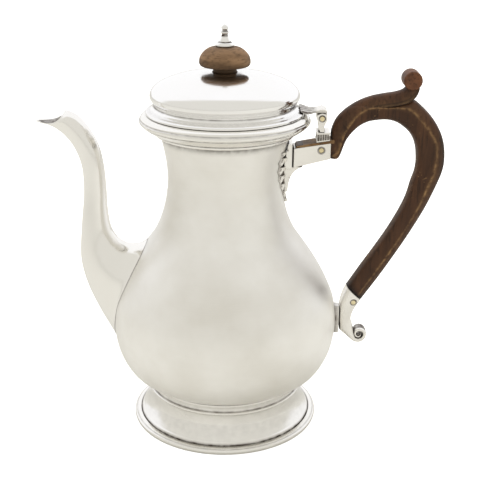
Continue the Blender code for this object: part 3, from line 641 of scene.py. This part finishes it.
def make_knob():
    """Turned wooden cap, the screw and finial through it, and its washer and nut."""
    bore = 2.3
    # fourth values darken the cap's underside and the ring round the finial: painted shade
    # under the cap
    cap = [(bore, 213.5, 1), (7.2, 213.5, 1, 0.9), (6.8, 214.0, 0, 0.7), (6.6, 214.8, 0, 0.6),
           (6.8, 215.7, 0, 0.8), (9.0, 216.3, 0, 0.7), (13.0, 216.8, 0, 0.6),
           (14.2, 217.8, 0, 0.45), (14.5, 219.4, 0, 0.2), (13.9, 222.1), (11.8, 224.9),
           (8.8, 226.9), (5.2, 227.6, 0, 0.4), (bore, 227.6, 1, 0.5)]
    piece("knob_cap", turned(outline(cap), steps=96), KNOB_WOOD, "lid",
          ["knob"])
    # fourth values darken the finial's steps into rings: painted shade and reflection, with
    # some real tarnish
    finial = [(0.0, 204.6, 1), (2.0, 204.6, 1), (2.0, 227.4, 1, 1.0), (4.6, 227.5, 1, 1.0),
              (4.95, 227.95, 1, 0.9), (5.0, 228.4, 0, 0.0), (4.9, 228.9), (4.4, 229.7),
              (3.8, 230.0, 1, 1.0), (3.5, 230.5, 1, 1.0), (3.4, 230.7, 0, 0.0), (3.0, 231.5),
              (2.3, 232.8), (1.9, 233.5, 1, 1.0), (1.6, 234.3, 1, 1.0), (2.0, 234.7, 0, 0.2),
              (2.3, 235.3), (2.0, 235.95, 1, 0.8), (1.45, 236.4, 1, 1.0),
              (1.6, 236.9, 1, 0.8), (1.95, 237.4, 0, 0.0), (2.05, 238.2), (1.6, 239.2),
              (0.8, 239.85), (0.0, 240.0, 1)]
    piece("finial", turned(outline(finial, 4), closed=False, steps=64), LID_SILVER, "lid",
          ["finial_screw"])
    for name, node, radius, low, high, steps in (
            ("washer", "knob_washer", 6.0, 209.9, 211.2, 48),
            ("nut", "knob_nut", 4.6, 206.6, 209.6, 6)):
        line = [(bore, low, 1), (radius, low, 1), (radius, high, 1), (bore, high, 1)]
        piece(name, turned(outline(line, 1), steps=steps), BRASS, "lid", [node],
              bevel=0.2)


# ---- hinge and sockets ---------------------------------------------------------------------
def knuckle(start, end, steps=28):
    """Points round the hinge's barrel from one angle to another."""
    return [(HINGE_X + KNUCKLE_RADIUS * cos(a), HINGE_Z + KNUCKLE_RADIUS * sin(a))
            for a in (start + (end - start) * k / steps for k in range(steps + 1))]


def make_leaf():
    """Fluted leaf on the lid, with an eye under it that turns on the hinge's rod."""
    steps = 24
    across = [-1 + 2 * k / steps for k in range(steps + 1)]
    wave = [0.5 + 0.5 * cos(LEAF_FLUTES * pi * s) for s in across]
    edge = [1 - 0.25 * abs(s) ** 6 for s in across]
    rings, dirt_and_shade = [], []
    for x, top, bottom, half in smooth(LEAF, 5):
        depth = LEAF_FLUTE_DEPTH * max(0.0, min(1.0, (52.5 - x) / 4.0))
        upper = [(x, half * s, bottom + (top - bottom) * e - depth * (1 - w))
                 for s, w, e in zip(across, wave, edge)]
        lower = [(x, half * s, bottom - 0.02) for s in reversed(across)]
        rings.append(upper + lower)
        # flutes and underside are darkened: painted shade in the flutes and under the leaf
        darkening = [min(1.0, 2.2 * (1 - w)) * min(1.0, depth * 2) for w in wave]
        dirt_and_shade.append(darkening + [0.5] * len(lower))
    piece("hinge_leaf_plate", lofted(rings, dirt_and_shade=dirt_and_shade), CAST, "lid",
          ["hinge_leaf"])
    outer = [(52.2, 191.8)] + knuckle(-pi, 0.0) + [(57.9, 191.8)]
    eye = piece("hinge_leaf_eye", prism(outer, LEAF_EYE_HALF), CAST, "lid")
    carve(eye, disc(HINGE_X, HINGE_Z, HINGE_BORE_RADIUS, 8.0))


def make_fork():
    """Two cheeks joined by a bridge, with the hinge's rod through them."""
    foot, bridge_top = 180.3, 183.9
    cheek = [(54.3, foot), (56.6, foot), (56.4, 183.4)] + knuckle(-0.22 * pi, 1.22 * pi) + [
        (53.4, 184.2), (53.5, 182.0)]
    cheeks = []
    for side in (-1, 1):
        bm = prism(cheek, FORK_CHEEK_HALF)
        bm.transform(Matrix.Translation((0, side * FORK_CHEEK_MIDDLE, 0)))
        cheeks.append(bm)
    fork = piece("hinge_fork_cheeks", join(*cheeks), CAST, "pot", ["hinge_fork"])
    carve(fork, disc(HINGE_X, HINGE_Z, HINGE_BORE_RADIUS, 8.0))
    bridge = prism([(53.4, foot), (57.0, foot), (56.6, bridge_top), (53.6, bridge_top)], 2.4)
    piece("hinge_fork_bridge", bridge, CAST, "pot", bevel=0.2)
    piece("hinge_rod", disc(HINGE_X, HINGE_Z, PIN_RADIUS, 5.95, 0.25, 32), BRASS, "pot",
          ["hinge_pin"])
    make_pin_rings("hinge_washers", HINGE_X, HINGE_Z, 2.05, 5.62)


def make_fluted_block():
    """Block under the fork, with upright flutes between a plinth and a cap."""
    steps = 40
    middle = Vector(((BLOCK_LEFT + BLOCK_RIGHT) / 2, 0.0))
    rings, dirt_and_shade = [], []
    for share, swell, fluted in BLOCK_LAYERS:
        left, right, half = BLOCK_LEFT - swell, BLOCK_RIGHT + swell, BLOCK_HALF + swell
        corners = [(left, -half), (right, -half), (right, half), (left, half)]
        ring, marks = [], []
        for start, end in zip(corners, corners[1:] + corners[:1]):
            for k in range(steps):
                groove = fluted * (0.5 - 0.5 * cos(2 * pi * BLOCK_FLUTES * k / steps))
                x, y = Vector(start).lerp(Vector(end), k / steps).lerp(middle, 0.08 * groove)
                base = socket_height(SOCKET_TOP, x) + 0.3
                ring.append((x, y, base + (BLOCK_TOP - base) * share))
                # flutes are darkened: painted shade in the grooves
                marks.append(min(1.0, 1.3 * groove + 0.35 * fluted))
        rings.append(ring)
        dirt_and_shade.append(marks)
    piece("hinge_fluted_block", lofted(rings, dirt_and_shade=dirt_and_shade), CAST, "pot",
          ["hinge_block"], sharp=50)


def make_pin_rings(name, x, z, outer, y):
    """A thin raised ring on both cheeks round a pin."""
    inner = 1.5
    rings = []
    for side in (-1, 1):
        # the third values darken the rings nearly all over, most at the pin
        line = [(inner, y - 0.1, 1.0), (inner, y + 0.12, 1.0), (outer, y + 0.12, 0.75),
                (outer + 0.15, y - 0.1, 0.95)]
        bm = turned([(r, side * h, d) for r, h, d in line], steps=32)
        bm.transform(Matrix.Translation((x, 0, z)) @ Matrix.Rotation(pi / 2, 4, "X"))
        rings.append(bm)
    piece(name, join(*rings), CAST, "pot")


def socket_height(ends, x):
    """Height of a sloping socket edge at x."""
    share = (x - SOCKET_LEFT) / (SOCKET_RIGHT - SOCKET_LEFT)
    return ends[0] + (ends[1] - ends[0]) * share


def sloping(left, right, floor_rise, top_rise):
    """An outline between two x places, raised from the socket's underside and top."""
    return [(left, socket_height(SOCKET_FLOOR, left) + floor_rise),
            (right, socket_height(SOCKET_FLOOR, right) + floor_rise),
            (right, socket_height(SOCKET_TOP, right) + top_rise),
            (left, socket_height(SOCKET_TOP, left) + top_rise)]


def make_upper_socket():
    """Silver box with sloping edges round the wood's tongue, which shows along its top."""
    cheeks = prism(sloping(SOCKET_LEFT, SOCKET_RIGHT, 0.0, -WOOD_BAND), SOCKET_HALF)
    socket = piece("socket_box", cheeks, CAST, "pot", ["upper_socket"])
    carve(socket, prism(sloping(SOCKET_LEFT + 1.2, 70.0, 1.4, 15.0), SOCKET_HALF - 1.0))
    carve(socket, disc(*UPPER_PIN, SOCKET_BORE_RADIUS, 9.0))
    bevel = socket.modifiers.new("bevel", "BEVEL")
    bevel.width = 0.45 * MM
    bevel.segments = 3
    bevel.angle_limit = radians(35)
    tongue = prism(sloping(SOCKET_LEFT + 2.2, 64.0, 1.8, -0.3), SOCKET_HALF - 1.25)
    piece("handle_tongue", tongue, HANDLE_WOOD, "pot", bevel=0.3)
    make_tongue_band()
    piece("upper_pin", disc(*UPPER_PIN, PIN_RADIUS, 6.65, 0.25, 32), BRASS, "pot",
          ["upper_handle_pin"])
    make_pin_rings("upper_pin_rings", *UPPER_PIN, 2.3, SOCKET_HALF)


def make_tongue_band():
    """Worn golden edge of the wood that rests on the cheeks, uneven along its length."""
    stations = [(SOCKET_LEFT + 1.4, 0.3, -0.5), (46.0, 0.1, -0.25), (52.0, 0.0, -0.05),
                (57.0, 0.0, 0.05), (62.5, -0.5, 0.1)]
    rings = []
    for x, low, high in smooth(stations, 4):
        corners = [(-6.45, low - WOOD_BAND), (6.45, low - WOOD_BAND), (6.3, high),
                   (-6.3, high)]
        rings.append([(x, y, socket_height(SOCKET_TOP, x) + rise) for y, rise in corners])
    piece("tongue_top_band", lofted(rings), GOLDEN_WOOD, "pot", bevel=0.25)


def make_bracket():
    """Plate behind the socket, on a curved foot that tapers down over the husks."""
    for name, stations, nodes in (("socket_bracket_plate", BRACKET_PLATE, ["socket_bracket"]),
                                  ("socket_bracket_foot", BRACKET_FOOT, [])):
        rings = []
        for z, front, half in smooth(stations, 6):
            back = [(body_x(half * s, z, BRACKET_LIFT), half * s, z)
                    for s in (-1, -0.6, -0.2, 0.2, 0.6, 1)]
            swell = [(front - 0.6 * s ** 4, half * s, z)
                     for s in (1, 0.8, 0.4, 0, -0.4, -0.8, -1)]
            rings.append(back + swell)
        piece(name, lofted(rings), CAST, "pot", nodes, sharp=60)


def drop_half_width(share):
    """Half the width of the drop, which is a leaf with a scalloped edge."""
    half = 0.9 + DROP_HALF * max(0.0, sin(pi * (0.10 + 0.62 * share) - 0.30)) ** 1.1
    return half * (1.0 - 0.10 * abs(sin(pi * share * DROP_HUSKS)))


def husk_surface(share, across):
    """How far the drop stands off the neck, and how much painted shadow darkens it there, most
    in the hollows.
    """
    local = (share * DROP_HUSKS - 0.45 * across) % 1.0
    reach = min(0.62, 2.2 * max(0.0, 0.97 - across))
    hollow = max(0.0, min(1.0, (reach - local) / 0.10, (across - 0.30) / 0.06))
    husk = 0.45 + (1.1 + 0.4 * share) * sin(pi * min(1.0, 0.94 * across)) ** 0.5
    height = husk * (1 - 0.9 * hollow) * (1 - across ** 8) + 0.1
    return height, min(1.0, 2.5 * hollow + 6 * max(0.0, across - 0.9))


def make_drop():
    """Graduated husks down the neck, each with a deep pointed hollow on either side."""
    rows, columns = 120, 56
    rings, dirt_and_shade = [], []
    for i in range(rows + 1):
        share = i / rows
        z = DROP_FOOT + (DROP_TOP - DROP_FOOT) * share
        half = drop_half_width(share)
        front, marks, back = [], [], []
        for j in range(columns + 1):
            s = -1 + 2 * j / columns
            height, darkening = husk_surface(share, abs(s))
            front.append((body_x(half * s, z, height), half * s, z))
            back.append((body_x(half * s, z, 0.05), half * s, z))
            marks.append(darkening)
        rings.append(front + back[::-1])
        # the hollows and the back are darkened: painted shadow under each husk
        dirt_and_shade.append(marks + [0.6] * len(back))
    piece("husk_drop", lofted(rings, dirt_and_shade=dirt_and_shade), CAST, "pot", ["socket_drop"],
          sharp=70)


# ---- wood handle ---------------------------------------------------------------------------
def moved_ridge(n, ridge):
    """Slide a place on the section so that its worn ridge lies where it should."""
    if n >= SECTION_RIDGE:
        return ridge + (n - SECTION_RIDGE) * (1 - ridge) / (1 - SECTION_RIDGE)
    return -1 + (n + 1) * (ridge + 1) / (SECTION_RIDGE + 1)


def strand_ring(end, half, shape):
    """A ring across a strand from its outer and inner points and half its width."""
    out_x, out_z, in_x, in_z = end
    middle = ((out_x + in_x) / 2, (out_z + in_z) / 2)
    reach = ((out_x - in_x) / 2, (out_z - in_z) / 2)
    return [(middle[0] + reach[0] * n, half * w, middle[1] + reach[1] * n) for n, w in shape]


def wood_rings(stations, ridges, steps):
    """Rings of the handle's section, with how worn each point is."""
    ends = smooth([s[:4] for s in stations], steps)
    halves = smooth([(s[4], ridge) for s, ridge in zip(stations, ridges)], steps)
    side = smooth(WOOD_SECTION, 3)
    section = list(side) + [Vector((n, -w, k)) for n, w, k in side[-2:0:-1]]
    rings = [strand_ring(end, half, [(moved_ridge(n, ridge), w) for n, w, _ in section])
             for end, (half, ridge) in zip(ends, halves)]
    worn = [[max(0.0, k) for _, _, k in section] for _ in rings]
    return rings, worn


def make_scroll():
    """The handle's strand, darkened at its ends with painted shade where it goes into the
    sockets, and worn golden beside the upper socket.
    """
    rings, worn = wood_rings(HANDLE_LOOP, RIDGE, 6)
    count = len(rings)
    # painted shade at both ends, where the strand goes into its sockets
    dirt_and_shade = [[max(0.0, 1 - i / 4, 1 - (count - 1 - i) / 2)] * len(rings[0])
            for i in range(count)]
    middle = len(rings[0]) // 2
    for i in range(9):
        worn[i] = [max(value, 0.8 * (1 - i / 9)) if abs(j - middle) < 15 else value
                   for j, value in enumerate(worn[i])]
    piece("handle_scroll", lofted(rings, dirt_and_shade=dirt_and_shade, worn=worn), HANDLE_WOOD, "pot",
          ["handle"], sharp=60)


def make_spur():
    """Thumb spur on top of the strand, with painted shade in the crevice where the two meet."""
    rings, worn = wood_rings(THUMB_SPUR, SPUR_RIDGE, 6)
    dirt_and_shade = []
    # painted shade on the spur's lower half, in the crevice over the strand
    for ring in rings:
        split = (ring[0][2] + ring[len(ring) // 2][2]) / 2 - 1.0
        dirt_and_shade.append([0.55 if point[2] < split else 0.0 for point in ring])
    piece("thumb_spur", lofted(rings, dirt_and_shade=dirt_and_shade, worn=worn), HANDLE_WOOD, "pot",
          sharp=60)


def make_roll():
    """Short rolled end of the spur, with flat ends of cross grain."""
    line = [(0.0, THUMB_ROLL_HALF - 0.2), (2.6, THUMB_ROLL_HALF - 0.15),
            (4.2, THUMB_ROLL_HALF - 0.05), (4.8, THUMB_ROLL_HALF - 0.15),
            (5.2, THUMB_ROLL_HALF - 0.6), (THUMB_ROLL_RADIUS, THUMB_ROLL_HALF - 1.4)]
    line = line + [(r, -h) for r, h in reversed(line)]
    roll = turned([(r, h, 0.0) for r, h in line], closed=False, steps=64)
    roll.transform(Matrix.Translation((THUMB_ROLL[0], 0, THUMB_ROLL[1]))
                   @ Matrix.Rotation(pi / 2, 4, "X"))
    piece("thumb_roll", roll, END_WOOD, "pot", sharp=50)


# ---- lower socket --------------------------------------------------------------------------
def volute_stations():
    """Stations of the curl that ends the sleeve, winding inwards and thinning out."""
    turns = 46
    cx, cz = VOLUTE[0] + 0.2, VOLUTE[1] - 0.2
    stations = []
    for k in range(1, turns + 1):
        t = k / turns
        angle = radians(212) + t * radians(500)
        outer = 5.9 * (1 - 0.80 * t) + 0.3
        inner = outer - 3.4 * (1 - 0.72 * t)
        end = (cx + inner * cos(angle), cz + inner * sin(angle),
               cx + outer * cos(angle), cz + outer * sin(angle))
        stations.append((end, 4.8 - 0.3 * t))
    return stations


def make_sleeve():
    """Cast sleeve round the wood's lower end, running into the volute."""
    section = [(1.0, 0.0), (0.97, 0.45), (0.80, 0.80), (0.42, 0.97), (0.0, 1.0),
               (-0.45, 0.97), (-0.82, 0.78), (-0.97, 0.42), (-1.0, 0.0)]
    side = smooth(section, 3)
    shape = [(n, w) for n, w in side] + [(n, -w) for n, w in side[-2:0:-1]]
    ends = smooth([s[:4] for s in LOWER_SOCKET], 6)
    halves = [half for half, _ in smooth([(s[4], 0.0) for s in LOWER_SOCKET], 6)]
    sleeve = list(zip(ends, halves))
    rings, dirt_and_shade = [], []
    for i, (end, half) in enumerate(sleeve + volute_stations()):
        rings.append(strand_ring(end, half, shape))
        # the sleeve's mouth and the curl's edges are darkened: painted shade where the wood
        # enters and in the curl
        edge = 0.0 if i < len(sleeve) else 0.9
        dirt_and_shade.append([edge if abs(n) > 0.9 else 0.0 for n, _ in shape])
    dirt_and_shade[0] = [0.9] * len(shape)
    piece("scroll_socket", lofted(rings, dirt_and_shade=dirt_and_shade), CAST, "pot",
          ["lower_socket"], sharp=60)


def make_pad():
    """Shaped pad between the lower socket and the body."""
    stations = [(53.4, 2.4), (55.0, 4.2), (58.0, 4.9), (62.0, 4.4), (66.0, 4.9), (69.5, 4.6),
                (71.4, 2.8)]
    rings, dirt_and_shade = [], []
    for z, half in smooth(stations, 4):
        back = [(body_x(half * s, z, 0.1), half * s, z) for s in (-1, -0.5, 0, 0.5, 1)]
        front = [(PAD_FACE_X + 0.3, half * s * 0.9, z) for s in (1, 0.5, 0, -0.5, -1)]
        rings.append(back + front)
        # darker on its back and sides against the body: painted shade between the pad and the
        # body
        dirt_and_shade.append([0.9, 0.5, 0.5, 0.5, 0.9] + [0.2] * len(front))
    piece("scroll_pad", lofted(rings, dirt_and_shade=dirt_and_shade), CAST, "pot",
          ["lower_socket_pad"], sharp=50)


def make_lower_pin():
    """Brass pin through the sleeve, with its rings."""
    piece("lower_pin", disc(*LOWER_PIN, PIN_RADIUS, 6.4, 0.25, 32), BRASS, "pot",
          ["lower_handle_pin"])
    make_pin_rings("lower_pin_rings", *LOWER_PIN, 2.1, 6.15)


make_body()
make_foot()
make_mouth()
make_spout()
make_lid()
make_knob()
make_leaf()
make_fork()
make_fluted_block()
make_upper_socket()
make_bracket()
make_drop()
make_scroll()
make_spur()
make_roll()
make_sleeve()
make_pad()
make_lower_pin()


# ---- floor, light and camera ---------------------------------------------------------------
PAPER = (0.74, 0.73, 0.69, 1.0)
PAPER_GLOW = 0.8
FRONT_CLOTH = (0.78, 0.765, 0.715, 1.0)
BACK_CLOTH = (1.04, 1.04, 1.05, 1.0)
CLOTH_BLEND = (0.22, 0.42)    # where along the lean below the front cloth gives way to the back
CLOTH_LEAN = 0.40             # how much height counts, beside the distance behind the pot
LENS, SENSOR_WIDTH = 75.0, 36.0
CAMERA_PLACE = (AXIS.x + 0.009, -0.5597, 0.3187)
CAMERA_DOWN = 20.2
CAMERA_ROLL = 0.3


def make_floor():
    """White paper, which glows only for rays that come straight from the camera."""
    bm = bmesh.new()
    bmesh.ops.create_grid(bm, x_segments=1, y_segments=1, size=9.0)
    mesh = bpy.data.meshes.new("floor")
    bm.to_mesh(mesh)
    bm.free()
    floor = bpy.data.objects.new("floor", mesh)
    floor.location.z = -0.0002
    bpy.context.scene.collection.objects.link(floor)
    paper = bpy.data.materials.new("white_paper")
    paper.use_nodes = True
    nodes, links = paper.node_tree.nodes, paper.node_tree.links
    shader = nodes["Principled BSDF"]
    shader.inputs["Base Color"].default_value = PAPER
    shader.inputs["Roughness"].default_value = 0.9
    shader.inputs["Specular IOR Level"].default_value = 0.1
    shader.inputs["Emission Color"].default_value = (1.0, 1.0, 1.0, 1.0)
    seen = nodes.new("ShaderNodeLightPath").outputs["Is Camera Ray"]
    glow = nodes.new("ShaderNodeMath")
    glow.operation = "MULTIPLY"
    glow.inputs[1].default_value = PAPER_GLOW
    links.new(seen, glow.inputs[0])
    links.new(glow.outputs[0], shader.inputs["Emission Strength"])
    mesh.materials.append(paper)


def make_world():
    """A light tent: warm grey cloth in front, brighter cloth behind and overhead."""
    world = bpy.data.worlds.new("light_tent")
    bpy.context.scene.world = world
    world.use_nodes = True
    nodes, links = world.node_tree.nodes, world.node_tree.links
    sky = nodes["Background"]

    split = nodes.new("ShaderNodeSeparateXYZ")
    links.new(nodes.new("ShaderNodeTexCoord").outputs["Generated"], split.inputs[0])
    lean = nodes.new("ShaderNodeMath")
    lean.operation = "MULTIPLY_ADD"
    links.new(split.outputs["Z"], lean.inputs[0])
    lean.inputs[1].default_value = CLOTH_LEAN
    links.new(split.outputs["Y"], lean.inputs[2])
    ramp = nodes.new("ShaderNodeValToRGB")
    links.new(lean.outputs[0], ramp.inputs[0])
    stops = ramp.color_ramp
    stops.interpolation = "EASE"
    stops.elements[0].position = CLOTH_BLEND[0]
    stops.elements[0].color = FRONT_CLOTH
    stops.elements[1].position = CLOTH_BLEND[1]
    stops.elements[1].color = BACK_CLOTH
    links.new(ramp.outputs[0], sky.inputs["Color"])
    sky.inputs["Strength"].default_value = 1.0


def make_light(name, location, size, power):
    """Round soft light aimed at the pot, left out of its reflections."""
    lamp = bpy.data.lights.new(name, "AREA")
    lamp.shape = "DISK"
    lamp.size = size
    lamp.energy = power
    made = bpy.data.objects.new(name, lamp)
    made.location = location
    made.rotation_euler = (Vector((0, 0, 0.1)) - Vector(location)).to_track_quat(
        "-Z", "Y").to_euler()
    made.visible_glossy = False
    bpy.context.scene.collection.objects.link(made)


def make_camera():
    """Long lens that looks down on the pot from in front."""
    lens = bpy.data.cameras.new("camera")
    lens.lens = LENS
    lens.sensor_width = SENSOR_WIDTH
    camera = bpy.data.objects.new("camera", lens)
    camera.matrix_world = (Matrix.Translation(CAMERA_PLACE)
                           @ Matrix.Rotation(radians(90 - CAMERA_DOWN), 4, "X")
                           @ Matrix.Rotation(radians(CAMERA_ROLL), 4, "Z"))
    bpy.context.scene.collection.objects.link(camera)
    bpy.context.scene.camera = camera


make_floor()
make_world()
make_light("overhead_softbox", (-0.3, 0.2, 1.3), 0.9, 4.0)
make_light("side_softbox", (0.9, -0.7, 0.9), 0.7, 3.0)
make_camera()
bpy.context.scene.view_settings.view_transform = "Standard"
